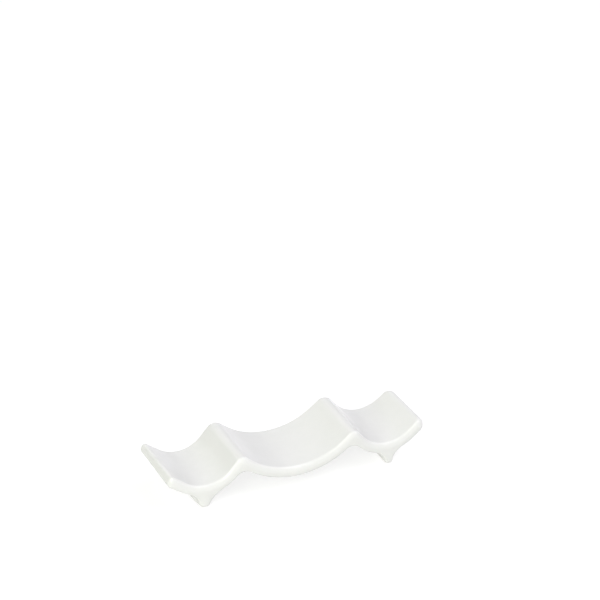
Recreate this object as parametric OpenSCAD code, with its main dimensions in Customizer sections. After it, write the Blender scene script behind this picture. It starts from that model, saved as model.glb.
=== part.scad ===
// Chopstick and spoon rest: a strip of glazed porcelain bent into three troughs, standing on two cross ribs.
// Millimetres. +X runs along the strip, +Y to the back and +Z up.
// The origin is on the table, under the middle of the rest.
// An angle here is the lean of a surface's outward normal, from straight up towards +X.

/* [Overall] */
// Length over both lips
rest_length = 110; // [105:1:130]
// Width of the strip at its middle
middle_width = 31.2; // [26:0.2:40]
// Width that the bowed long sides come down to at the lips
end_width = 28.8; // [24:0.2:40]
// Thickness of the strip
strip_t = 4.3; // [3.6:0.1:5]

/* [Ridges] */
// Distance between the two crest lines
ridge_spacing = 47.4; // [42:0.2:52]
// Height of the crests above the table
ridge_height = 18.8; // [17:0.1:24]
// Radius of the rounded crest
crest_radius = 3.2; // [2:0.1:4]
// Radius of the notch under each ridge
notch_radius = 4.3; // [2:0.1:6]

/* [Spoon trough] */
// Height of the middle trough's floor above the table
spoon_floor = 9.4; // [8:0.1:12]
// Straight stretch between the middle trough's arc and the crest
spoon_flank = 2; // [0.4:0.1:5]

/* [Chopstick troughs] */
// Distance between the floors of the two small troughs
stick_spacing = 78; // [74:0.2:84]
// Height of the small troughs' floors above the table
stick_floor = 9.9; // [8.8:0.1:12]
// Straight stretch between a small trough's arc and the crest
stick_flank = 3.8; // [0.4:0.1:6]

/* [Lips] */
// Slope of the straight upturned lip
lip_angle = 37; // [25:0.5:45]
// Radius of the lip's corners seen from above
corner_radius = 2.4; // [1.6:0.1:4]

/* [Edges] */
// Radius of the strip's long edges and of the ribs' ends
edge_radius = 1.2; // [0.6:0.1:1.4]
// How much rounder the lip's end edges are than the long edges
lip_extra = 0.3; // [0.1:0.05:0.4]

/* [Feet] */
// Distance of a rib's middle outwards from its trough's floor line
foot_offset = 0.6; // [-2:0.1:2]
// Width of a rib at its tip, before its edges are rounded
foot_w = 4.2; // [3.4:0.1:6]
// Lean of a rib's sides from upright
foot_taper = 6; // [1:0.5:15]
// Radius of a rib's long lower edges
tip_radius = 0.8; // [0.3:0.05:1.1]
// Straight stretch of a rib's side between its rounded tip and its flare
foot_straight = 0.15; // [0.1:0.05:0.8]
// Angle at which the flare meets the underside of the strip
flare_meet = 12; // [6:1:25]

/* [Bare strips] */
// Thickness of the bare strip under each rib
rim_t = 0.4; // [0.2:0.05:0.6]
// How far the bare strip is set in from the flat of the rib's tip
rim_set_in = 0.2; // [0.05:0.05:0.4]

/* [Hidden] */

// Glazed and bare porcelain
glaze_colour = [0.95, 0.95, 0.94];
bare_colour = [0.88, 0.86, 0.82];

// Steps along each round stretch
crest_steps = 6;
spoon_steps = 13;
trough_steps = 21;
notch_steps = 5;
// The middle trough's underside has as many points as its upper side
spoon_under_steps = spoon_steps + crest_steps - notch_steps + 1;
side_steps = 3;
end_steps = 5;
flare_steps = 4;
tip_steps = 3;
edge_steps = 5;
corner_steps = 3;
// The saddle has as many points as the rib's outline under it
saddle_steps = 2 * flare_steps + 2 * tip_steps + 3;
rim_facets = 48;
// Radius that a rib's lower edges keep where its ends round off
least_radius = 0.04;

// Overall
half_length = rest_length / 2;
half_width = middle_width / 2;
bow = 1 - end_width / middle_width;
end_radius = edge_radius + lip_extra;

// Centres of the round stretches, as [x, z]
stick_x = stick_spacing / 2;
crest = [ridge_spacing / 2, ridge_height - crest_radius];
spoon_radius = trough_radius(crest.x, crest.y - spoon_floor, spoon_flank);
stick_radius = trough_radius(stick_x - crest.x, crest.y - stick_floor, stick_flank);
spoon = [0, spoon_floor + spoon_radius];
stick = [stick_x, stick_floor + stick_radius];
// Radii of the undersides of the middle trough and of a small one
spoon_under_radius = spoon_radius + strip_t;
under_radius = stick_radius + strip_t;
notch = lower_meeting(spoon, spoon_under_radius + notch_radius, stick, under_radius + notch_radius);

// Leans of the normals where one stretch runs into the next
spoon_lean = flank_lean(crest.x, spoon.y - crest.y, spoon_radius, spoon_flank);
stick_lean = flank_lean(stick.x - crest.x, stick.y - crest.y, stick_radius, stick_flank);
ridge_lean = lean(crest - notch);
notch_spoon_lean = lean(notch - spoon);
notch_stick_lean = lean(notch - stick) + 360;
end_lean = 90 - lip_angle;
arm_under_lean = 180 - lip_angle;

// Length of the straight lip, from its trough's arc to its end face
lip_run = end_radius
    + (half_length - stick.x - end_radius - (under_radius - end_radius) * sin(lip_angle)) / cos(lip_angle);

// The rib
foot_x = stick_x + foot_offset;
foot_neck = rim_t + max(edge_radius, tip_radius) + foot_straight;
tip_half = foot_w / 2;
tip_flat = foot_w - 2 * tip_radius * tan((90 - foot_taper) / 2);
rim_w = tip_flat - 2 * rim_set_in;
foot_side = half_width * bow_share(foot_x);
rim_length = 2 * (foot_side - edge_radius - rim_set_in);

// Points and leans in the XZ plane
function at(centre, radius, angle) = centre + radius * [sin(angle), cos(angle)];
function lean(v) = atan2(v.x, v.y);
function arc(centre, radius, from, to, steps) =
    [for (i = [0:steps]) at(centre, radius, from + (to - from) * i / steps)];
function without_first(list) = [for (i = [1:len(list) - 1]) list[i]];
function reversed(list) = [for (i = [len(list) - 1:-1:0]) list[i]];
function mirrored(list) = [for (p = list) [-p.x, p.y]];

// Radius of a trough that a straight flank joins to the crest, and the lean of that flank
function trough_radius(reach, drop, flank) =
    (reach ^ 2 + drop ^ 2 - crest_radius ^ 2 - flank ^ 2) / (2 * (crest_radius + drop));
function flank_lean(reach, rise, radius, flank) =
    atan2(radius + crest_radius, flank) - atan2(rise, reach);

// Lower point where two circles cross
function lower_meeting(a, a_radius, b, b_radius) =
    let (
        gap = norm(b - a),
        along = (b - a) / gap,
        run = (a_radius ^ 2 - b_radius ^ 2 + gap ^ 2) / (2 * gap),
        off = sqrt(a_radius ^ 2 - run ^ 2)
    )
    a + run * along + off * [along.y, -along.x];

// The long sides bow out: the share of the middle's width at x
function bow_share(x) = 1 - bow * (x / half_length) ^ 2;

// How far the lip's end face draws back where the plan corner is rounded
function corner_back(set_in) =
    set_in >= corner_radius ? 0 : corner_radius - sqrt(corner_radius ^ 2 - (corner_radius - set_in) ^ 2);

// Layers across the width: [y at the middle of the strip, inset from the outline, set back of the lip's end]
function edge_sets() =
    [for (i = [0:edge_steps]) let (a = 90 * i / edge_steps) edge_radius * [1 - cos(a), 1 - sin(a)]];
function corner_sets() =
    [for (i = [1:corner_steps]) [edge_radius + (corner_radius - edge_radius) * i / corner_steps, 0]];
function layer(side, set) = [side * (half_width - set[0]), set[1], max(corner_back(set[0]) - set[1], 0)];
function layers(sets) =
    concat([for (s = sets) layer(-1, s)], [for (s = reversed(sets)) layer(1, s)]);
function placed(chain, y) = [for (p = chain) [p.x, y * bow_share(p.x), p.y]];

// Upper and lower outlines of the middle trough, from its left ridge to its right one, drawn in by inset
function spoon_top_half(inset) = concat(
    arc(spoon, -(spoon_radius + inset), 0, -spoon_lean, spoon_steps),
    arc(crest, crest_radius - inset, -spoon_lean, ridge_lean, crest_steps)
);
function spoon_under_half(inset) = concat(
    arc(spoon, spoon_under_radius - inset, 180, notch_spoon_lean, spoon_under_steps),
    without_first(arc(notch, -(notch_radius + inset), notch_spoon_lean, ridge_lean + 180, notch_steps))
);
function both_halves(half) = concat(reversed(mirrored(without_first(half))), half);

// Upper and lower outlines of the right small trough, from its ridge to the end of its lip
function stick_top(inset, back) = concat(
    arc(crest, crest_radius - inset, ridge_lean, stick_lean, crest_steps),
    arc(stick, -(stick_radius + inset), stick_lean, -lip_angle, trough_steps),
    arc(lip_corner(stick_radius + end_radius, back), end_radius - inset, -lip_angle, end_lean, end_steps)
);
function stick_under(inset, back) = concat(
    arc(notch, -(notch_radius + inset), ridge_lean + 180, notch_stick_lean, notch_steps),
    without_first(arc(stick, under_radius - inset, notch_stick_lean, saddle_lean(-1, inset), side_steps)),
    without_first(saddle(inset)),
    without_first(arc(stick, under_radius - inset, saddle_lean(1, inset), arm_under_lean, side_steps)),
    arc(lip_corner(under_radius - end_radius, back), end_radius - inset, arm_under_lean, end_lean, end_steps)
);
// Centre of a rounded edge at the lip's end, given its distance from the trough's centre
function lip_corner(depth, back) =
    at(stick, -depth, -lip_angle) + (lip_run - end_radius - back) * [cos(lip_angle), sin(lip_angle)];

// The rib's side: its direction upwards, its outward normal and the point where its flare starts
function side_up(side) = [side * sin(foot_taper), cos(foot_taper)];
function side_out(side) = [side * cos(foot_taper), -sin(foot_taper)];
function neck(side) =
    [foot_x + side * tip_half, rim_t] + (foot_neck - rim_t) / cos(foot_taper) * side_up(side);

// The flare is an arc that leaves the side smoothly and meets the strip's underside at flare_meet
function flare_radius(side) =
    let (from_centre = neck(side) - stick)
    (from_centre * from_centre - under_radius ^ 2)
        / (2 * (under_radius * cos(flare_meet) - from_centre * side_out(side)));
function flare_centre(side) = neck(side) + flare_radius(side) * side_out(side);
function flare_top(side, inset) =
    let (
        centre = flare_centre(side),
        gap = norm(centre - stick),
        along = (centre - stick) / gap,
        under = under_radius - inset,
        run = (under ^ 2 - (flare_radius(side) + inset) ^ 2 + gap ^ 2) / (2 * gap),
        off = sqrt(under ^ 2 - run ^ 2)
    )
    stick + run * along - side * off * [-along.y, along.x];
function saddle_lean(side, inset) =
    let (a = lean(flare_top(side, inset) - stick))
    a < 0 ? a + 360 : a;
function saddle(inset) =
    arc(stick, under_radius - inset, saddle_lean(-1, inset), saddle_lean(1, inset), saddle_steps);

// The rib's own outline below the saddle, from its left end to its right one, without those two ends
function flare(side, inset) =
    let (centre = flare_centre(side), top = lean(flare_top(side, inset) - centre))
    without_first(arc(centre, flare_radius(side) + inset, top, lean(-side_out(side)), flare_steps));
function tip(side, inset) =
    let (
        radius = max(tip_radius - inset, least_radius),
        drop = inset + radius,
        corner = [foot_x + side * tip_half, rim_t],
        in_by = drop * tan((90 - foot_taper) / 2),
        centre = corner + [-side * in_by, drop]
    )
    arc(centre, radius, lean(side_out(side)), side * 180, tip_steps);
function rib_outline(inset) = concat(
    flare(-1, inset),
    tip(-1, inset),
    reversed(tip(1, inset)),
    reversed(flare(1, inset))
);

// A solid skinned over loops of n points, one loop per layer from front to back.
// caps pairs the loop's points into the triangles that close its front end.
module skinned(loops, caps) {
    n = len(loops[0]);
    last = (len(loops) - 1) * n;
    sides = [
        for (j = [0:len(loops) - 2], i = [0:n - 1])
            let (a = j * n + i, b = j * n + (i + 1) % n, c = b + n, d = a + n)
            each [[a, d, c], [a, c, b]]
    ];
    back_caps = [for (f = caps) [f[0] + last, f[2] + last, f[1] + last]];
    polyhedron([for (loop = loops) each loop], concat(sides, caps, back_caps));
}

// Caps between an upper chain of m points and the lower chain that follows it back
function strip_caps(m) = [
    for (i = [0:m - 2])
        let (low = 2 * m - 1 - i)
        each [[i, i + 1, low - 1], [i, low - 1, low]]
];

// Caps of a rib, whose lower outline shares its two ends with the saddle of m points
function rib_caps(m) =
    let (low = function (i) i == 0 ? 0 : i == m - 1 ? m - 1 : 2 * m - 2 - i)
    [
        for (i = [0:m - 2])
            each [
                if (i < m - 2) [i, i + 1, low(i + 1)],
                if (i > 0) [i, low(i + 1), low(i)]
            ]
    ];

module side_cradle() {
    loops = [
        for (l = layers(concat(edge_sets(), corner_sets())))
            placed(concat(stick_top(l[1], l[2]), reversed(stick_under(l[1], l[2]))), l[0])
    ];
    color(glaze_colour) skinned(loops, strip_caps(len(loops[0]) / 2));
}

module spoon_cradle() {
    loops = [
        for (l = layers(edge_sets()))
            let (top = both_halves(spoon_top_half(l[1])), under = both_halves(spoon_under_half(l[1])))
            placed(concat(top, reversed(under)), l[0])
    ];
    color(glaze_colour) skinned(loops, strip_caps(len(loops[0]) / 2));
}

module foot() {
    loops = [
        for (l = layers(edge_sets()))
            placed(concat(saddle(l[1]), reversed(rib_outline(l[1]))), l[0])
    ];
    color(glaze_colour) skinned(loops, rib_caps(saddle_steps + 1));
}

// The bare strip: a flat bar with round ends, on the table
module foot_rim() {
    end_y = (rim_length - rim_w) / 2;
    color(bare_colour)
    translate([foot_x, 0])
    linear_extrude(rim_t) {
        square([rim_w, 2 * end_y], center = true);
        for (side = [-1, 1])
            translate([0, side * end_y])
            circle(d = rim_w, $fn = rim_facets);
    }
}

module left_cradle() { mirror([1, 0, 0]) side_cradle(); }
module right_cradle() { side_cradle(); }
module left_foot() { mirror([1, 0, 0]) foot(); }
module right_foot() { foot(); }
module left_foot_rim() { mirror([1, 0, 0]) foot_rim(); }
module right_foot_rim() { foot_rim(); }

left_cradle();
spoon_cradle();
right_cradle();
left_foot();
right_foot();
left_foot_rim();
right_foot_rim();
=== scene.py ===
"""Looks of a white porcelain chopstick and spoon rest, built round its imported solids.

Metres, in the solids' own frame: +X along the strip, +Y to the back, +Z up. A lean is the angle of a
surface's outward normal in the XZ plane, from straight up towards +X.
"""
import math

import bpy
import numpy as np
from mathutils import Matrix, Vector


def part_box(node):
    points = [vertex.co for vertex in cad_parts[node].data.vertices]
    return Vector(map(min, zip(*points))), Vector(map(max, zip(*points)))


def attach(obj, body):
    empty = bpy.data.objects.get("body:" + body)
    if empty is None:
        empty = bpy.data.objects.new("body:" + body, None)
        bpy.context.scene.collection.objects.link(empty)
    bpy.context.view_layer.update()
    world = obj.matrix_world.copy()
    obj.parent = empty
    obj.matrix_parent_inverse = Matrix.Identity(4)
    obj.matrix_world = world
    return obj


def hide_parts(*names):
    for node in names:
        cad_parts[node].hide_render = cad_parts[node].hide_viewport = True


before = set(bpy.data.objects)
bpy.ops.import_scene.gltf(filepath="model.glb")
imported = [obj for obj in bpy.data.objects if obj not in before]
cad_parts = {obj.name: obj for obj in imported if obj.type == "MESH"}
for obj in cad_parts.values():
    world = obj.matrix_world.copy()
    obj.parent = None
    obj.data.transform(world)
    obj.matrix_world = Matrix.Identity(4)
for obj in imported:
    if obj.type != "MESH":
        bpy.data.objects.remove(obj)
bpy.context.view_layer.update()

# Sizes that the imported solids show
spoon_low, spoon_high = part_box("spoon_cradle")
rim_low, rim_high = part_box("right_foot_rim")
half_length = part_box("right_cradle")[1].x
half_width = spoon_high.y
ridge_height = spoon_high.z
foot_x = (rim_low.x + rim_high.x) / 2
rim_t = rim_high.z

# Sizes of the strip that no box shows. A flank is the straight stretch between a trough and a crest.
strip_t = 0.0043
end_half_width = 0.0144
crest_x = 0.0237
crest_radius = 0.0032
notch_radius = 0.0043
spoon_flank = 0.002
stick_x = 0.039
stick_floor = 0.0099
stick_flank = 0.0038
lip_angle = math.radians(37)

# Ridges: how far their flanks move apart at the back, and how far from the crest they do so the most
ridge_spread = 0.0005
ridge_reach = 0.0048

# How much thinner than the solids the strip is outside each rib
arm_thinner = {"left": 0.0004, "right": 0.0}

# Ends of the lips: radii of their upper and lower edge
end_radii = {"left": (0.0012, 0.0016), "right": (0.002, 0.002)}
# At the front and the back: tilt of the end's face towards the table, how much longer the lip is than
# lip_run, and how much thinner it is at its end than the strip behind it
end_tilts = {"left": (math.radians(8), math.radians(32)), "right": (0.0, 0.0)}
end_longer = {"left": (0.0, 0.00105), "right": (0.00008, -0.0008)}
end_thinner = {"left": (-0.0006, -0.0001), "right": (0.0, 0.0)}

# Corners of the lips, given as -1 for the front one and 1 for the back one
corner_radii = {
    "left": {-1: 0.0021, 1: 0.0018},
    "right": {-1: 0.0034, 1: 0.0034},
}

# Long sides: an upper edge, a gently rounded face with a narrow flat in it, and a lower edge, as arcs that
# run into one another
side_radius = 0.0039
side_flat = 0.00012
upper_edge_radius = 0.0011
upper_edge_rise = math.radians(34)
lower_edge_rise = math.radians(10)

# Ribs: half widths at the foot, slopes of the sides and straight stretches below the flares, each for a
# plain side and for a fuller one, and the radius of the lower edges, which stays above the least
foot_half = 0.00185
wide_foot_half = 0.0026
foot_slope = math.radians(9)
full_foot_slope = math.radians(30)
foot_straight = 0.00015
tall_foot_straight = 0.0016
tip_radius = 0.0014
least_radius = 0.00004

# Ends of the ribs: they draw back by nose_depth at nose_half beside their middle, in full from nose_fade
# below the strip on, and only within nose_reach
nose_half = 0.003
nose_depth = 0.0006
nose_fade = 0.0045
nose_reach = 0.006
# Shares by which their inner and outer sides close in there, from pinch_start of the half width on
inner_pinch = 0.08
outer_pinch = 0.28
pinch_start = 0.6

# Steps along each stretch of the outlines
SPOON_STEPS = 34
FLANK_STEPS = 6
CREST_STEPS = 14
NOTCH_STEPS = 14
LIP_STEPS = 10
END_STEPS = 10
SIDE_STEPS = 8
FLARE_STEPS = 12
TIP_STEPS = 6
# A saddle has as many points as the rib's outline under it, and the strip's two faces as many as each other
SADDLE_STEPS = 2 * FLARE_STEPS + 2 * TIP_STEPS + 3
TROUGH_STEPS = SADDLE_STEPS + NOTCH_STEPS + 2 * SIDE_STEPS - CREST_STEPS - FLANK_STEPS

# Steps across a long side's rounding, from there across the lips' corners, and from there to the middle
EDGE_STEPS = 16
CORNER_STEPS = 5
WIDTH_STEPS = 8

# Share of a lip's thickness that each rounded edge of its end takes at most
END_SHARE = 0.47

# Points closer than WELD are one, vectors are divided by SHORTEST at least, and slopes are taken over PROBE
WELD = 1e-8
SHORTEST = 1e-12
PROBE = 1e-6

# Gap between a piece's flat maps, and the layer of its curvatures with their rounds of evening out
MAP_GAP = 0.001
BEND_LAYER = "bend"
EVENING_ROUNDS = 14

# The picture: its side and the camera's focal length in pixels, and the pixel where the part's origin lands
PICTURE = 600
FOCAL_PIXELS = 3480.8
ORIGIN_PIXEL = (283.5, 467.6)
# The camera: its direction from the origin in degrees, its distance, and how many times that far it sees
CAMERA_AZIMUTH = -24.04
CAMERA_ELEVATION = 32.15
CAMERA_DISTANCE = 1.3788
CAMERA_SIGHT = 10

# Colours of the glaze and of the bare body
GLAZE_WHITE = (0.875, 0.875, 0.864, 1)
GLAZE_CLOUDED = (0.862, 0.864, 0.852, 1)
# Darker glaze: a random mottle, and painted shade in the hollows
GLAZE_MOTTLE_AND_SHADE = (0.805, 0.813, 0.797, 1)
# Thin glaze on the edges, lighter there as a painted highlight
GLAZE_THIN_AND_HIGHLIGHT = (0.9, 0.9, 0.892, 1)
BARE_PALE = (0.83, 0.81, 0.775, 1)
BARE_DARK = (0.765, 0.745, 0.705, 1)
BARE_RUBBED = (0.68, 0.67, 0.65, 1)

# The most of those colours that is mixed in, and the least share of it where the mottling is weakest
MOTTLE_SHARE = 0.12
DEEP_AND_SHADE_SHARE = 0.6
THIN_AND_HIGHLIGHT_SHARE = 0.6
RUBBED_SHARE = 0.35
UNEVEN_LEAST = 0.35

# Roughness from smooth to dull, and what the worn glaze adds
GLAZE_ROUGH = (0.2, 0.24)
WORN_ROUGH = 0.025
BARE_ROUGH = (0.65, 0.85)

# Noises: the size of their features and their levels of detail
CLOUDS = (0.018, 2)
MOTTLE = (0.0022, 4)
RIPPLE = (0.007, 1)
SKIN = (0.0011, 2)
GRIT = (0.0003, 4)
RUBBING = (0.0022, 3)
NOISE_ROUGHNESS = 0.55

# Values of a noise between which a surface changes
NOISE_SPAN = (0.3, 0.7)
MOTTLE_SPAN = (0.35, 0.7)
RUBBED_SPAN = (0.35, 0.65)

# Depths of the relief
RIPPLE_DEPTH = 0.00003
SKIN_DEPTH = 0.000003
GRIT_DEPTH = 0.00003

# Curvatures, per metre, where the glaze wears thin and takes a painted highlight, and where it lies deep
# and takes painted shade
THIN_AND_HIGHLIGHT_BENDS = (350.0, 950.0)
DEEP_AND_SHADE_BENDS = (-15.0, -170.0)

# Heights where the glaze ends on a rib, and how far that line wanders
GLAZE_LINE = (0.0005, 0.0008)
GLAZE_LINE_RAGGED = 0.0002

# The floor: its reach, its place a hair below the rims, its colour in the light that it throws back and as
# it is seen, and the light of its own that lifts it to white there
FLOOR_REACH = 6.0
FLOOR_Z = -0.00003
FLOOR_WHITE = (0.8, 0.8, 0.8, 1)
FLOOR_SHADED = (0.4, 0.4, 0.4, 1)
FLOOR_LIFT = 0.73

# The light: of the surround, and of softboxes by their azimuth, elevation, width, height, power and colour
WHITE = (1, 1, 1, 1)
WARM = (0.978, 1.0, 0.9)
COOL = (0.925, 0.9, 1.0)
SURROUND_LIGHT = 0.2
SOFTBOX_DISTANCE = 1.0
SOFTBOXES = {
    "key_softbox": (-45, 28, 1.0, 0.6, 7.4, WARM),
    "right_softbox": (65, 58, 1.0, 0.6, 5.3, COOL),
    "back_softbox": (180, 50, 1.2, 1.0, 1.4, WARM),
    "low_right_softbox": (90, 18, 1.2, 0.6, 1.1, WARM),
}

# The two halves, the leans of a surface that faces up and down, and a right angle
HALVES = ("left", "right")
UP = 0.0
DOWN = math.pi
SQUARE = math.pi / 2


# Points and leans in the XZ plane
def at(centre, radius, lean):
    """The point of a circle at that lean. A negative radius gives a hollow stretch."""
    return centre + radius * np.array([math.sin(lean), math.cos(lean)])


def lean_of(vector):
    """The lean that points along a vector."""
    return math.atan2(vector[0], vector[1])


def spread(start, end, steps):
    """Values from start to end in equal steps, with those two."""
    return [start + (end - start) * i / steps for i in range(steps + 1)]


def arc(centre, radius, start, end, steps):
    """Points of a circle from one lean to another."""
    return np.array([at(centre, radius, lean) for lean in spread(start, end, steps)])


def between(start, end, steps):
    """Points on the line from start to end, without those two."""
    return np.array(spread(start, end, steps)[1:-1])


def trough_radius(reach, drop, flank):
    """Radius of a trough that a straight flank joins to the crest."""
    return (reach ** 2 + drop ** 2 - crest_radius ** 2 - flank ** 2) / (2 * (crest_radius + drop))


def flank_lean(reach, rise, radius, flank):
    """Lean of the flank between a trough and the crest."""
    return math.atan2(radius + crest_radius, flank) - math.atan2(rise, reach)


def lower_meeting(a, a_radius, b, b_radius):
    """The lower point where two circles cross."""
    gap = math.dist(a, b)
    along = (b - a) / gap
    run = (a_radius ** 2 - b_radius ** 2 + gap ** 2) / (2 * gap)
    off = math.sqrt(a_radius ** 2 - run ** 2)
    return a + run * along + off * np.array([along[1], -along[0]])


# Centres and radii of the strip's round stretches
spoon_floor = spoon_low.z + strip_t
crest = np.array([crest_x, ridge_height - crest_radius])
spoon_radius = trough_radius(crest_x, crest[1] - spoon_floor, spoon_flank)
stick_radius = trough_radius(stick_x - crest_x, crest[1] - stick_floor, stick_flank)
spoon = np.array([0, spoon_floor + spoon_radius])
stick = np.array([stick_x, stick_floor + stick_radius])
spoon_under = spoon_radius + strip_t
stick_under = stick_radius + strip_t
notch = lower_meeting(spoon, spoon_under + notch_radius, stick, stick_under + notch_radius)

# Heights of a long side's face and upper edge, and the radius that they leave for its lower edge
face_height = side_radius * (math.sin(upper_edge_rise) + math.sin(lower_edge_rise)) + side_flat
upper_edge_height = upper_edge_radius * (1 - math.sin(upper_edge_rise))
lower_edge_radius = (strip_t - face_height - upper_edge_height) / (1 - math.sin(lower_edge_rise))


def edge_inset(set_in, rise, radius):
    """How far an edge lies inside the strip's outline at that distance from its side."""
    face_set_in = side_radius * (1 - math.cos(rise))
    if set_in < face_set_in:
        angle = math.acos(1 - set_in / side_radius)
        return side_radius * (math.sin(rise) - math.sin(angle)) + radius * (1 - math.sin(rise))
    angle = math.acos(max(math.cos(rise) - (set_in - face_set_in) / radius, 0))
    return radius * (1 - math.sin(angle))


# Leans where one stretch runs into the next
spoon_lean = flank_lean(crest_x, spoon[1] - crest[1], spoon_radius, spoon_flank)
stick_lean = flank_lean(stick_x - crest_x, stick[1] - crest[1], stick_radius, stick_flank)
ridge_lean = lean_of(crest - notch)
notch_spoon_lean = lean_of(notch - spoon)
notch_stick_lean = lean_of(notch - stick) + 2 * math.pi
end_lean = SQUARE - lip_angle
arm_under_lean = DOWN - lip_angle

# Direction of the straight lip, from its trough's arc to its end
lip_along = np.array([math.cos(lip_angle), math.sin(lip_angle)])


def lip_run(half):
    """Length with which the lower edge of a plain lip's end comes as far out as the solids."""
    radius = end_radii[half][1]
    reach = half_length - stick_x - radius - (stick_under - radius) * math.sin(lip_angle)
    return radius + reach / math.cos(lip_angle)


# The ribs' sides, given as -1 for the inner one and 1 for the outer one: half widths at the foot, straight
# stretches below the flare, and slopes. The left rib is fuller inside and wider outside.
rib_halves = {
    "left": {-1: foot_half, 1: wide_foot_half},
    "right": {-1: foot_half, 1: foot_half},
}
rib_straights = {
    "left": {-1: foot_straight, 1: tall_foot_straight},
    "right": {-1: foot_straight, 1: foot_straight},
}
rib_slopes = {
    "left": {-1: full_foot_slope, 1: foot_slope},
    "right": {-1: foot_slope, 1: foot_slope},
}
# Height where the straight stretches start
straight_z = rim_t + max(edge_inset(0, lower_edge_rise, lower_edge_radius), tip_radius)


def side_out(foot, side):
    """Outward normal of a rib's side."""
    slope = rib_slopes[foot][side]
    return np.array([side * math.cos(slope), -math.sin(slope)])


def neck(foot, side):
    """Where the flare leaves the rib's side."""
    neck_z = straight_z + rib_straights[foot][side]
    half = rib_halves[foot][side] + (neck_z - rim_t) * math.tan(rib_slopes[foot][side])
    return np.array([foot_x + side * half, neck_z])


def under_radius(side, thinner):
    """Radius of the underside of a strip that is thinner by that much outside the rib."""
    return stick_under - max(side, 0) * thinner


def flare(foot, side, thinner):
    """Centre and radius of the arc that runs smoothly from the rib's side into the strip's underside."""
    under = under_radius(side, thinner)
    reach = neck(foot, side) - stick
    radius = (reach @ reach - under ** 2) / (2 * (under - reach @ side_out(foot, side)))
    return neck(foot, side) + radius * side_out(foot, side), radius


def saddle_lean(foot, side, thinner):
    """Lean on the strip's underside where the flare meets it."""
    return lean_of(flare(foot, side, thinner)[0] - stick) % (2 * math.pi)


# Outlines of a half, drawn on the right and in by inset
def top_half(inset, end):
    """The upper outline from the middle to the lip's end, whose rounded upper edge is given."""
    floor = arc(spoon, -(spoon_radius + inset), UP, -spoon_lean, SPOON_STEPS)
    inner = arc(crest, crest_radius - inset, -spoon_lean, ridge_lean, CREST_STEPS)
    outer = arc(crest, crest_radius - inset, ridge_lean, stick_lean, CREST_STEPS)
    trough = arc(stick, -(stick_radius + inset), stick_lean, -lip_angle, TROUGH_STEPS)
    return np.concatenate([
        floor, between(floor[-1], inner[0], FLANK_STEPS), inner,
        outer[1:], between(outer[-1], trough[0], FLANK_STEPS), trough,
        between(trough[-1], end[0], LIP_STEPS), end,
    ])


def rib_tip(foot, side, inset):
    """The rib's rounded lower edge, from its side to its flat."""
    radius = max(tip_radius - inset, least_radius)
    drop = inset + radius
    in_by = drop * math.tan((SQUARE - rib_slopes[foot][side]) / 2)
    centre = np.array([foot_x + side * (rib_halves[foot][side] - in_by), rim_t + drop])
    return arc(centre, radius, lean_of(side_out(foot, side)), side * DOWN, TIP_STEPS)


def rib_side(foot, side, inset, thinner):
    """The rib's flare and rounded lower edge, without the flare's top."""
    centre, radius = flare(foot, side, thinner)
    end = lean_of(-side_out(foot, side))
    curve = arc(centre, radius + inset, lean_of(stick - centre), end, FLARE_STEPS)
    return np.concatenate([curve[1:], rib_tip(foot, side, inset)])


def rib(foot, inset, thinner):
    """The rib's outline, from its inner flare to its outer one, without their tops."""
    return np.concatenate([rib_side(foot, -1, inset, thinner), rib_side(foot, 1, inset, thinner)[::-1]])


def saddle(foot, inset, thinner):
    """The strip's underside within a rib, with a point straight above each of the rib's."""
    def flare_top(side):
        return at(stick, under_radius(side, thinner) - inset, saddle_lean(foot, side, thinner))[0]

    x = rib(foot, inset, thinner)[:, 0]
    inner, outer = flare_top(-1), flare_top(1)
    radius = stick_under - inset - thinner * (x - inner) / (outer - inner)
    return np.stack([x, stick[1] - np.sqrt(radius ** 2 - (x - stick[0]) ** 2)], axis=-1)


def under_half(foot, inset, thinner, end, under_lean):
    """The lower outline that goes with top_half, point for point. The lip's underside has that lean."""
    floor_steps = SPOON_STEPS + FLANK_STEPS + CREST_STEPS - NOTCH_STEPS
    floor = arc(spoon, spoon_under - inset, DOWN, notch_spoon_lean, floor_steps)
    inner = arc(notch, -(notch_radius + inset), notch_spoon_lean, ridge_lean + DOWN, NOTCH_STEPS)
    outer = arc(notch, -(notch_radius + inset), ridge_lean + DOWN, notch_stick_lean, NOTCH_STEPS)
    before_end, after_start = [saddle_lean(foot, side, thinner) for side in (-1, 1)]
    before = arc(stick, stick_under - inset, notch_stick_lean, before_end, SIDE_STEPS)
    after = arc(stick, under_radius(1, thinner) - inset, after_start, under_lean, SIDE_STEPS)
    return np.concatenate([
        floor, inner[1:],
        outer[1:], before[1:], saddle(foot, inset, thinner), after,
        between(after[-1], end[0], LIP_STEPS), end,
    ])


def mirrored(outline):
    """An outline of the right half carried over to the left, and so in reverse order."""
    return outline[::-1] * [-1, 1]


def both_halves(left, right):
    """The outline from the left lip to the right one, of two halves that are drawn on the right."""
    return np.concatenate([mirrored(left[1:]), right])


# Layers across the width
def thinner_by(most, upper_inset, lower_inset):
    """How much thinner an arm is where those insets leave only a part of its thickness."""
    return most * (strip_t - upper_inset - lower_inset) / strip_t


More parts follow.
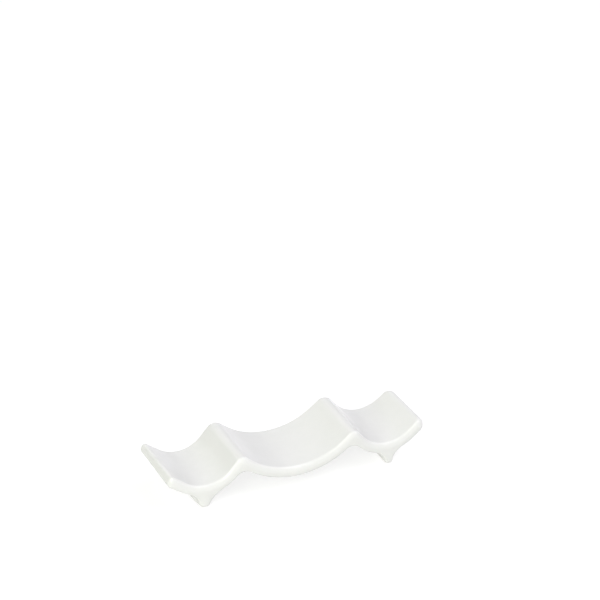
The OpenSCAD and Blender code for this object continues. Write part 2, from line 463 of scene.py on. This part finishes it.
def lip_end(half, side, set_in, upper_inset, lower_inset):
    """A lip's upper and lower rounded edge at that distance from a side, and the lean of its underside.

    The end draws back at the corners, and both edges run into its face.
    """
    from_front = (1 + side * (1 - set_in / half_width)) / 2
    both_sides = [end_longer[half], end_thinner[half], end_tilts[half]]
    longer, thinner, tilt = [front + (back - front) * from_front for front, back in both_sides]
    corner = corner_radii[half][side]
    corner_back = corner - math.sqrt(corner ** 2 - max(corner - set_in, 0) ** 2)
    length = lip_run(half) + longer - corner_back
    arm_lost, lost = [thinner_by(most, upper_inset, lower_inset) for most in (arm_thinner[half], thinner)]
    room = END_SHARE * (strip_t - upper_inset - lower_inset - arm_lost - lost)
    upper_radius, lower_radius = [min(radius, room) for radius in end_radii[half]]
    face_lean = end_lean + tilt
    under_lean = arm_under_lean - math.asin(lost / length)

    start = at(stick, -(stick_radius + upper_inset + upper_radius), -lip_angle)
    upper = start + (length - upper_radius) * lip_along
    outward = [at(0, 1, lean) for lean in (face_lean, under_lean)]
    face_reach = outward[0] @ (upper - stick) + upper_radius
    under_reach = under_radius(1, arm_lost) - lower_inset
    lower = stick + np.linalg.solve(outward, np.array([face_reach, under_reach]) - lower_radius)
    upper_edge = arc(upper, upper_radius, -lip_angle, face_lean, END_STEPS)
    lower_edge = arc(lower, lower_radius, under_lean, face_lean, END_STEPS)
    return upper_edge, lower_edge, under_lean


def layer(side, set_in):
    """A layer at that distance from a side, given as -1 for the front and 1 for the back.

    It has its y at the middle of the strip, the insets of its upper and lower outline, how much thinner
    each arm is, and each lip's end.
    """
    upper_inset = edge_inset(set_in, upper_edge_rise, upper_edge_radius)
    lower_inset = edge_inset(set_in, lower_edge_rise, lower_edge_radius)
    thinner = [thinner_by(arm_thinner[half], upper_inset, lower_inset) for half in HALVES]
    ends = [lip_end(half, side, set_in, upper_inset, lower_inset) for half in HALVES]
    return side * (half_width - set_in), upper_inset, lower_inset, thinner, ends


def layers():
    """The layers from the front to the back."""
    edge = side_radius * (1 - math.cos(upper_edge_rise)) + upper_edge_radius * math.cos(upper_edge_rise)
    set_ins = [edge * (1 - math.cos(turn)) for turn in spread(0, SQUARE, EDGE_STEPS)]
    corner = max(radius for half in HALVES for radius in corner_radii[half].values())
    set_ins += spread(edge, corner, CORNER_STEPS)[1:]
    set_ins += spread(corner, half_width, WIDTH_STEPS)[1:]
    front = [layer(-1, set_in) for set_in in set_ins]
    return front + [layer(1, set_in) for set_in in set_ins[-2::-1]]


# The whole rest as a grid: one row per layer, one column per point of its outlines.
# Steps from the middle to a lip's end, to a ridge and to both ends of a saddle
HALF = len(top_half(0, lip_end("left", 1, half_width, 0, 0)[0])) - 1
RIDGE = SPOON_STEPS + FLANK_STEPS + CREST_STEPS
SADDLE = RIDGE + NOTCH_STEPS + SIDE_STEPS
SADDLE_END = SADDLE + SADDLE_STEPS
# Columns of the strip's upper and lower face and of the ribs
TOP = np.arange(2 * HALF + 1)
UNDER = TOP + len(TOP)
RIB_RIGHT = 2 * len(TOP) + np.arange(SADDLE_STEPS - 1)
RIB_LEFT = RIB_RIGHT + len(RIB_RIGHT)


def eased(value):
    """The value held between 0 and 1, with a smooth start and end."""
    held = np.clip(value, 0, 1)
    return held ** 2 * (3 - 2 * held)


def rib_depth(x, z):
    """How far down a rib a point lies: 0 on the strip's underside and beside the ribs, 1 well below it."""
    out = abs(x)
    under = stick[1] - np.sqrt(np.maximum(stick_under ** 2 - (out - stick[0]) ** 2, 0))
    return np.where(abs(out - foot_x) < nose_reach, eased((under - z) / nose_fade), 0)


def nose_share(x, z):
    """Share of the width by which a rib's ends draw back beside its middle."""
    return nose_depth / half_width * ((abs(x) - foot_x) / nose_half) ** 2 * rib_depth(x, z)


def pinch_shift(x, y, z):
    """How far a rib's sides move towards its middle near its ends."""
    out = abs(x) - foot_x
    near_end = eased((abs(y) / half_width - pinch_start) / (1 - pinch_start))
    return -np.sign(x) * out * np.where(out > 0, outer_pinch, inner_pinch) * near_end * rib_depth(x, z)


def ridge_shift(x, y):
    """How far a ridge's flanks move away from its crest: not at all at the front, the most at the back."""
    beside = (abs(x) - crest_x) / ridge_reach
    from_front = (1 + y / half_width) / 2
    return np.sign(x) * ridge_spread * from_front ** 2 * beside * np.exp((1 - beside ** 2) / 2)


def shaped(grid):
    """The points moved: long sides bow out, ribs' ends are round and slim, ridges widen to the back."""
    x, y, z = np.moveaxis(grid, -1, 0)
    bow = (1 - end_half_width / half_width) * (x / half_length) ** 2
    along = x + ridge_shift(x, y) + pinch_shift(x, y, z)
    return np.stack([along, y * (1 - bow - nose_share(x, z)), z], axis=-1)


def unit(vectors):
    """Vectors scaled to length 1."""
    return vectors / np.maximum(np.linalg.norm(vectors, axis=-1, keepdims=True), SHORTEST)


def side_normals(grid, side):
    """Normals of the strip's flat long side as shaped leaves it."""
    steps = PROBE * np.eye(3)
    slopes = [(shaped(grid + step) - shaped(grid - step)) / (2 * PROBE) for step in steps]
    outward = np.broadcast_to([0.0, side, 0.0], grid.shape)
    return unit(np.linalg.solve(np.stack(slopes, axis=-2), outward[..., None])[..., 0])


def rest_grid():
    """The points of all layers, before they are shaped."""
    rows = []
    for y, upper_inset, lower_inset, thinner, ends in layers():
        top = [top_half(upper_inset, upper_edge) for upper_edge, _, _ in ends]
        arms = list(zip(HALVES, thinner, ends))
        under = [under_half(half, lower_inset, lost, *end[1:]) for half, lost, end in arms]
        ribs = [rib("right", lower_inset, thinner[1]), mirrored(rib("left", lower_inset, thinner[0]))]
        flat = np.concatenate([both_halves(*top), both_halves(*under), *ribs])
        rows.append(np.stack([flat[:, 0], np.full(len(flat), y), flat[:, 1]], axis=-1))
    return np.array(rows)


def chain(columns, start, end):
    """Columns of a face from one step to another, counted from the middle of the rest."""
    return columns[HALF + start:HALF + end + 1]


def outer_ring():
    """The columns in order round the whole outline, ribs included and their saddles left out."""
    under_right = chain(UNDER, SADDLE_END, HALF)[::-1]
    under_middle = chain(UNDER, -SADDLE, SADDLE)[::-1]
    under_left = chain(UNDER, -HALF, -SADDLE_END)[::-1]
    return np.concatenate([TOP, under_right, RIB_RIGHT[::-1], under_middle, RIB_LEFT[::-1], under_left])


def ring_normals(ring):
    """Smooth normals of a grid that closes along its columns."""
    following = np.roll(ring, -1, axis=1)
    faces = unit(np.cross(following[1:] - ring[:-1], ring[1:] - following[:-1]))
    corners = faces + np.roll(faces, 1, axis=1)
    total = np.zeros_like(ring)
    total[:-1] += corners
    total[1:] += corners
    return unit(total)


def bend(steps, turns):
    """Curvature from steps along a surface and the turns of its normal, per metre."""
    return (steps * turns).sum(axis=-1) / np.maximum((steps ** 2).sum(axis=-1), WELD ** 2)


def ring_bends(ring, normals):
    """Curvature of a grid that closes along its columns: above 0 on edges, below 0 in hollows."""
    def round_step(grid):
        return np.roll(grid, -1, axis=1) - np.roll(grid, 1, axis=1)

    def across_step(grid):
        wide = np.concatenate([grid[:1], grid, grid[-1:]])
        return wide[2:] - wide[:-2]

    return bend(round_step(ring), round_step(normals)) + bend(across_step(ring), across_step(normals))


def evened(ring):
    """Values evened out along the columns of a grid that closes there, as glaze flows along."""
    for _ in range(EVENING_ROUNDS):
        ring = (np.roll(ring, 1, axis=1) + 2 * ring + np.roll(ring, -1, axis=1)) / 4
    return ring


plain = rest_grid()
points = shaped(plain)
normals = np.zeros_like(points)
ring = outer_ring()
normals[:, ring] = ring_normals(points[:, ring])
normals[0] = side_normals(plain[0], -1.0)
normals[-1] = side_normals(plain[-1], 1.0)
bends = np.zeros(points.shape[:2])
bends[:, ring] = evened(ring_bends(points[:, ring], normals[:, ring]))


# A piece is a set of patches: grids of points, which turn anticlockwise along their columns and then their
# rows as seen from outside, with their normals and curvatures. A faceted patch lies against another piece.
def patch(cells, faceted=False, turned=False):
    """The points at those rows and columns of the grid, with their normals and curvatures."""
    parts = [points[cells], normals[cells], bends[cells]]
    if turned:
        parts = [part.swapaxes(0, 1) for part in parts]
    return (*parts, faceted)


def runs(columns, hidden):
    """The columns cut into runs, each with whether it lies against another piece."""
    inside = [c in hidden and d in hidden for c, d in zip(columns[:-1], columns[1:])]
    starts = [0] + [i for i in range(1, len(inside)) if inside[i] != inside[i - 1]]
    return [(columns[a:b + 1], inside[a]) for a, b in zip(starts, starts[1:] + [len(inside)])]


def paired(row, upper, lower):
    """Columns of two chains side by side: each step moves on along the one that keeps the pairs closest."""
    i, j = 0, 0
    pairs = [(upper[0], lower[0])]
    while i < len(upper) - 1 or j < len(lower) - 1:
        steps = [(i + a, j + b) for a, b in ((1, 0), (0, 1)) if i + a < len(upper) and j + b < len(lower)]
        i, j = min(steps, key=lambda step: math.dist(row[upper[step[0]]], row[lower[step[1]]]))
        pairs.append((upper[i], lower[j]))
    return [[pair[k] for pair in pairs] for k in range(2)]


def band_patches(upper, lower, hidden, cut_ends):
    """The patches of a closed piece between a chain of upper columns and the lower chain under it.

    Over a rib, whose whole upper chain is hidden, each upper column is straight above its lower one.
    """
    patches = []
    for columns in (upper, lower[::-1]):
        for run, against in runs(list(columns), set(hidden)):
            patches.append(patch((slice(None), run), against))
    over_rib = set(upper) <= set(hidden)
    upper_edge, lower_edge = (upper, lower) if over_rib else paired(points[0], upper, lower)
    for row, edges in ((0, [lower_edge, upper_edge]), (-1, [upper_edge, lower_edge])):
        patches.append(patch((row, edges)))
    for ends, cut in zip([[upper[0], lower[0]], [lower[-1], upper[-1]]], cut_ends):
        if ends[0] != ends[1]:
            patches.append(patch((slice(None), ends), cut, turned=True))
    return patches


def quad_corners(grid):
    """Four corners for each cell of a grid."""
    cells = np.stack([grid[:-1, :-1], grid[:-1, 1:], grid[1:, 1:], grid[1:, :-1]], axis=2)
    return cells.reshape(-1, 4, grid.shape[-1])


def unrolled(grid, low):
    """Flat coordinates of a patch by the lengths of its cells, starting at that height."""
    wide = np.linalg.norm(np.diff(grid, axis=1), axis=-1).max(axis=0)
    tall = np.linalg.norm(np.diff(grid, axis=0), axis=-1).max(axis=1)
    across = np.concatenate([[0], np.cumsum(wide)])
    along = low + np.concatenate([[0], np.cumsum(tall)])
    return np.stack(np.meshgrid(across, along), axis=-1)


def face_layers(patches):
    """Corners, normals, flat coordinates and curvatures of the patches' faces, four of each to a face."""
    corners, turns, flats, curves = [], [], [], []
    low = 0.0
    for grid, grid_normals, grid_bends, faceted in patches:
        cells = quad_corners(grid)
        corners.append(cells)
        if faceted:
            face = unit(np.cross(cells[:, 2] - cells[:, 0], cells[:, 3] - cells[:, 1]))
            turns.append(np.repeat(face[:, None], 4, axis=1))
        else:
            turns.append(quad_corners(grid_normals))
        flat = unrolled(grid, low)
        flats.append(quad_corners(flat))
        curves.append(quad_corners(grid_bends[..., None]))
        low = flat[..., 1].max() + MAP_GAP
    corners, turns, flats, curves = [np.concatenate(parts) for parts in (corners, turns, flats, curves)]
    return corners, turns, flats / flats.max(), curves


def piece_from(name, patches, material):
    """One object of the patches, welded where they meet. Corners that fall together there are left out."""
    corners, turns, flats, curves = face_layers(patches)
    corners = corners.reshape(-1, 3)
    spots = np.round(corners / WELD).astype(np.int64)
    _, first, index = np.unique(spots, axis=0, return_index=True, return_inverse=True)
    index = index.reshape(-1, 4)
    kept = index != np.roll(index, 1, axis=1)
    kept &= kept.sum(axis=1, keepdims=True) > 2
    faces = [face[keep].tolist() for face, keep in zip(index, kept) if keep.any()]

    mesh = bpy.data.meshes.new(name)
    mesh.from_pydata(corners[first], [], faces)
    flat_map = mesh.uv_layers.new(name="OFBake")
    flat_map.uv.foreach_set("vector", flats[kept].astype(np.float32).ravel())
    bend_layer = mesh.attributes.new(BEND_LAYER, "FLOAT", "CORNER")
    bend_layer.data.foreach_set("value", curves[kept].astype(np.float32).ravel())
    mesh.normals_split_custom_set([tuple(turn) for turn in turns[kept]])
    mesh.materials.append(material)
    piece = bpy.data.objects.new(name, mesh)
    bpy.context.scene.collection.objects.link(piece)
    return piece


# Materials
def new_material(name):
    """A material, its node tree and its shader."""
    material = bpy.data.materials.new(name)
    material.use_nodes = True
    return material, material.node_tree, material.node_tree.nodes["Principled BSDF"]


def add_node(tree, kind, inputs, **settings):
    """A node with those settings, each of whose inputs takes a value or another node's output."""
    made = tree.nodes.new(kind)
    for name, value in settings.items():
        setattr(made, name, value)
    for name, value in inputs.items():
        if isinstance(value, bpy.types.NodeSocket):
            tree.links.new(value, made.inputs[name])
        else:
            made.inputs[name].default_value = value
    return made


def calc(tree, operation, a, b):
    """The outcome of an operation on two values."""
    return add_node(tree, "ShaderNodeMath", {0: a, 1: b}, operation=operation).outputs[0]


def ranged(tree, value, start, end, low=0.0, high=1.0):
    """The value carried over from start and end to low and high, and held within them."""
    inputs = {"Value": value, "From Min": start, "From Max": end, "To Min": low, "To Max": high}
    return add_node(tree, "ShaderNodeMapRange", inputs, interpolation_type="SMOOTHSTEP").outputs["Result"]


# Sockets of the mix node for colours, which have the same names as those for other values
MIX_SHARE = 0
MIX_A = 6
MIX_B = 7
MIX_RESULT = 2


def mixed(tree, share, a, b):
    """Colour a, with that share of colour b."""
    inputs = {MIX_SHARE: share, MIX_A: a, MIX_B: b}
    return add_node(tree, "ShaderNodeMix", inputs, data_type="RGBA").outputs[MIX_RESULT]


def place(tree):
    """Where a point lies on the object."""
    return add_node(tree, "ShaderNodeTexCoord", {}).outputs["Object"]


def grain(tree, size, detail):
    """Noise from 0 to 1 with features of that size."""
    inputs = {"Vector": place(tree), "Scale": 1 / size, "Detail": detail, "Roughness": NOISE_ROUGHNESS}
    return add_node(tree, "ShaderNodeTexNoise", inputs).outputs["Fac"]


def bumped(tree, height, depth):
    """Normals of a relief of that depth."""
    inputs = {"Height": height, "Distance": depth, "Strength": 1.0}
    return add_node(tree, "ShaderNodeBump", inputs).outputs["Normal"]


def glaze():
    """Clear glaze over white porcelain: painted highlight on thin edges, painted shade in deep hollows,
    wiped off above the rim.
    """
    material, tree, shader = new_material("porcelain_glaze")
    clouds = grain(tree, *CLOUDS)
    mottle = grain(tree, *MOTTLE)
    curve = add_node(tree, "ShaderNodeAttribute", {}, attribute_name=BEND_LAYER).outputs["Fac"]
    uneven = ranged(tree, mottle, *NOISE_SPAN, UNEVEN_LEAST, 1.0)
    thin_and_highlight = calc(tree, "MULTIPLY", ranged(tree, curve, *THIN_AND_HIGHLIGHT_BENDS), uneven)
    deep_and_shade = calc(tree, "MULTIPLY", ranged(tree, curve, *DEEP_AND_SHADE_BENDS), uneven)
    height = add_node(tree, "ShaderNodeSeparateXYZ", {0: place(tree)}).outputs["Z"]
    wander = ranged(tree, mottle, *NOISE_SPAN, -GLAZE_LINE_RAGGED, GLAZE_LINE_RAGGED)
    covered = ranged(tree, calc(tree, "ADD", height, wander), *GLAZE_LINE)

    tone = mixed(tree, ranged(tree, clouds, *NOISE_SPAN), GLAZE_WHITE, GLAZE_CLOUDED)
    tone = mixed(tree, ranged(tree, mottle, *MOTTLE_SPAN, 0.0, MOTTLE_SHARE), tone, GLAZE_MOTTLE_AND_SHADE)
    # Painted shade: the hollows darkened, as deep glaze
    tone = mixed(tree, calc(tree, "MULTIPLY", deep_and_shade, DEEP_AND_SHADE_SHARE), tone, GLAZE_MOTTLE_AND_SHADE)
    # Painted highlight: the edges lightened, as thin glaze
    tone = mixed(tree, calc(tree, "MULTIPLY", thin_and_highlight, THIN_AND_HIGHLIGHT_SHARE), tone, GLAZE_THIN_AND_HIGHLIGHT)
    tree.links.new(mixed(tree, covered, BARE_PALE, tone), shader.inputs["Base Color"])

    worn_rough = calc(tree, "MULTIPLY", thin_and_highlight, WORN_ROUGH)
    rough = calc(tree, "ADD", ranged(tree, clouds, *NOISE_SPAN, *GLAZE_ROUGH), worn_rough)
    bare_rough = ranged(tree, covered, 0.0, 1.0, BARE_ROUGH[0], 0.0)
    tree.links.new(calc(tree, "MAXIMUM", rough, bare_rough), shader.inputs["Roughness"])

    ripple = calc(tree, "MULTIPLY", grain(tree, *RIPPLE), RIPPLE_DEPTH / SKIN_DEPTH)
    skin = calc(tree, "ADD", ripple, grain(tree, *SKIN))
    tree.links.new(bumped(tree, skin, SKIN_DEPTH), shader.inputs["Normal"])
    return material


def bisque():
    """Bare fired porcelain: matt, finely grained and a little grey where it has rubbed."""
    material, tree, shader = new_material("porcelain_bisque")
    grit = grain(tree, *GRIT)
    rubbed = ranged(tree, grain(tree, *RUBBING), *RUBBED_SPAN)
    tone = mixed(tree, ranged(tree, grit, *NOISE_SPAN), BARE_PALE, BARE_DARK)
    tone = mixed(tree, calc(tree, "MULTIPLY", rubbed, RUBBED_SHARE), tone, BARE_RUBBED)
    tree.links.new(tone, shader.inputs["Base Color"])
    tree.links.new(ranged(tree, rubbed, 0.0, 1.0, *BARE_ROUGH[::-1]), shader.inputs["Roughness"])
    tree.links.new(bumped(tree, grit, GRIT_DEPTH), shader.inputs["Normal"])
    return material


glazed = glaze()
bare = bisque()


def add_glazed(node, upper, lower, hidden, cut_ends):
    """A glazed piece in the place of a solid."""
    piece = piece_from(node + "_glazed", band_patches(upper, lower, hidden, cut_ends), glazed)
    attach(piece, "root")
    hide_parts(node)
    return piece


# Columns of the strip that lie on the ribs
left_saddle = chain(UNDER, -SADDLE_END, -SADDLE)
right_saddle = chain(UNDER, SADDLE, SADDLE_END)
# Each cradle's first and last step, the saddle hidden under it, and whether it is cut at each end
cradles = {
    "left_cradle": (-HALF, -RIDGE, left_saddle, (False, True)),
    "spoon_cradle": (-RIDGE, RIDGE, (), (True, True)),
    "right_cradle": (RIDGE, HALF, right_saddle, (True, False)),
}
for node, (start, end, hidden, cut_ends) in cradles.items():
    add_glazed(node, chain(TOP, start, end), chain(UNDER, start, end), hidden, cut_ends)
# Each foot's saddle and the columns of its rib
feet = {"left_foot": (left_saddle, RIB_LEFT), "right_foot": (right_saddle, RIB_RIGHT)}
for node, (seat, rib_columns) in feet.items():
    outline = np.concatenate([seat[:1], rib_columns, seat[-1:]])
    add_glazed(node, seat, outline, seat, (True, True))
for node in ("left_foot_rim", "right_foot_rim"):
    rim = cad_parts[node]
    rim.data.materials.clear()
    rim.data.materials.append(bare)


# Stage: a floor that is white to the camera and keeps the rest's shadow, and a white surround
def backdrop_rays(tree):
    """1 for the rays that show the backdrop itself: to the camera, in gloss and through glass."""
    path = add_node(tree, "ShaderNodeLightPath", {})
    total = path.outputs["Is Camera Ray"]
    for kind in ("Is Glossy Ray", "Is Transmission Ray"):
        total = calc(tree, "MAXIMUM", total, path.outputs[kind])
    return total


def add_floor():
    """The floor, which shows the rest's shadow on white."""
    mesh = bpy.data.meshes.new("floor")
    reach = FLOOR_REACH
    corners = [(-reach, -reach, 0), (reach, -reach, 0), (reach, reach, 0), (-reach, reach, 0)]
    mesh.from_pydata(corners, [], [(0, 1, 2, 3)])
    floor = bpy.data.objects.new("floor", mesh)
    floor.location.z = FLOOR_Z
    bpy.context.scene.collection.objects.link(floor)
    material, tree, shader = new_material("floor_white")
    shader.inputs["Roughness"].default_value = 1.0
    shader.inputs["Specular IOR Level"].default_value = 0.0
    shader.inputs["Emission Color"].default_value = WHITE
    seen = backdrop_rays(tree)
    tree.links.new(mixed(tree, seen, FLOOR_WHITE, FLOOR_SHADED), shader.inputs["Base Color"])
    tree.links.new(calc(tree, "MULTIPLY", seen, FLOOR_LIFT), shader.inputs["Emission Strength"])
    mesh.materials.append(material)
    return floor


def add_world():
    """The surround, white where it is seen and dimmer as a light."""
    world = bpy.data.worlds.new("surround")
    bpy.context.scene.world = world
    world.use_nodes = True
    tree = world.node_tree
    background = tree.nodes["Background"]
    background.inputs["Color"].default_value = WHITE
    strength = ranged(tree, backdrop_rays(tree), 0.0, 1.0, SURROUND_LIGHT, 1.0)
    tree.links.new(strength, background.inputs["Strength"])
    return world


def direction(azimuth, elevation):
    """Unit vector from the rest. Azimuth 0 is the front, -Y, and 90 the right, +X."""
    a, e = math.radians(azimuth), math.radians(elevation)
    return Vector((math.sin(a) * math.cos(e), -math.cos(a) * math.cos(e), math.sin(e)))


def add_softbox(name, azimuth, elevation, width, height, power, colour):
    """An area lamp that faces the middle of the rest from that direction."""
    lamp = bpy.data.lights.new(name, "AREA")
    lamp.shape = "RECTANGLE"
    lamp.size = width
    lamp.size_y = height
    lamp.energy = power
    lamp.color = colour
    box = bpy.data.objects.new(name, lamp)
    bpy.context.scene.collection.objects.link(box)
    towards = direction(azimuth, elevation)
    aim = Vector((0, 0, ridge_height / 2))
    box.location = aim + SOFTBOX_DISTANCE * towards
    box.rotation_euler = towards.to_track_quat("Z", "Y").to_euler()
    return box


def add_camera():
    """The camera at the photo's angle, turned so that the part's origin lands on its pixel."""
    camera = bpy.data.objects.new("camera", bpy.data.cameras.new("camera"))
    bpy.context.scene.collection.objects.link(camera)
    bpy.context.scene.camera = camera
    back = direction(CAMERA_AZIMUTH, CAMERA_ELEVATION)
    right = Vector((0, 0, 1)).cross(back).normalized()
    axes = Matrix((right, back.cross(right), back)).transposed()
    sight = Vector((
        (ORIGIN_PIXEL[0] - PICTURE / 2) / FOCAL_PIXELS, (PICTURE / 2 - ORIGIN_PIXEL[1]) / FOCAL_PIXELS, -1,
    ))
    turn = Vector((0, 0, -1)).rotation_difference(sight)
    camera.rotation_mode = "QUATERNION"
    camera.rotation_quaternion = axes.to_quaternion() @ turn.inverted()
    camera.location = CAMERA_DISTANCE * back
    camera.data.lens = FOCAL_PIXELS * camera.data.sensor_width / PICTURE
    camera.data.clip_end = CAMERA_SIGHT * CAMERA_DISTANCE
    return camera


add_floor()
add_world()
for name, settings in SOFTBOXES.items():
    add_softbox(name, *settings)
add_camera()
bpy.context.scene.view_settings.view_transform = "Standard"
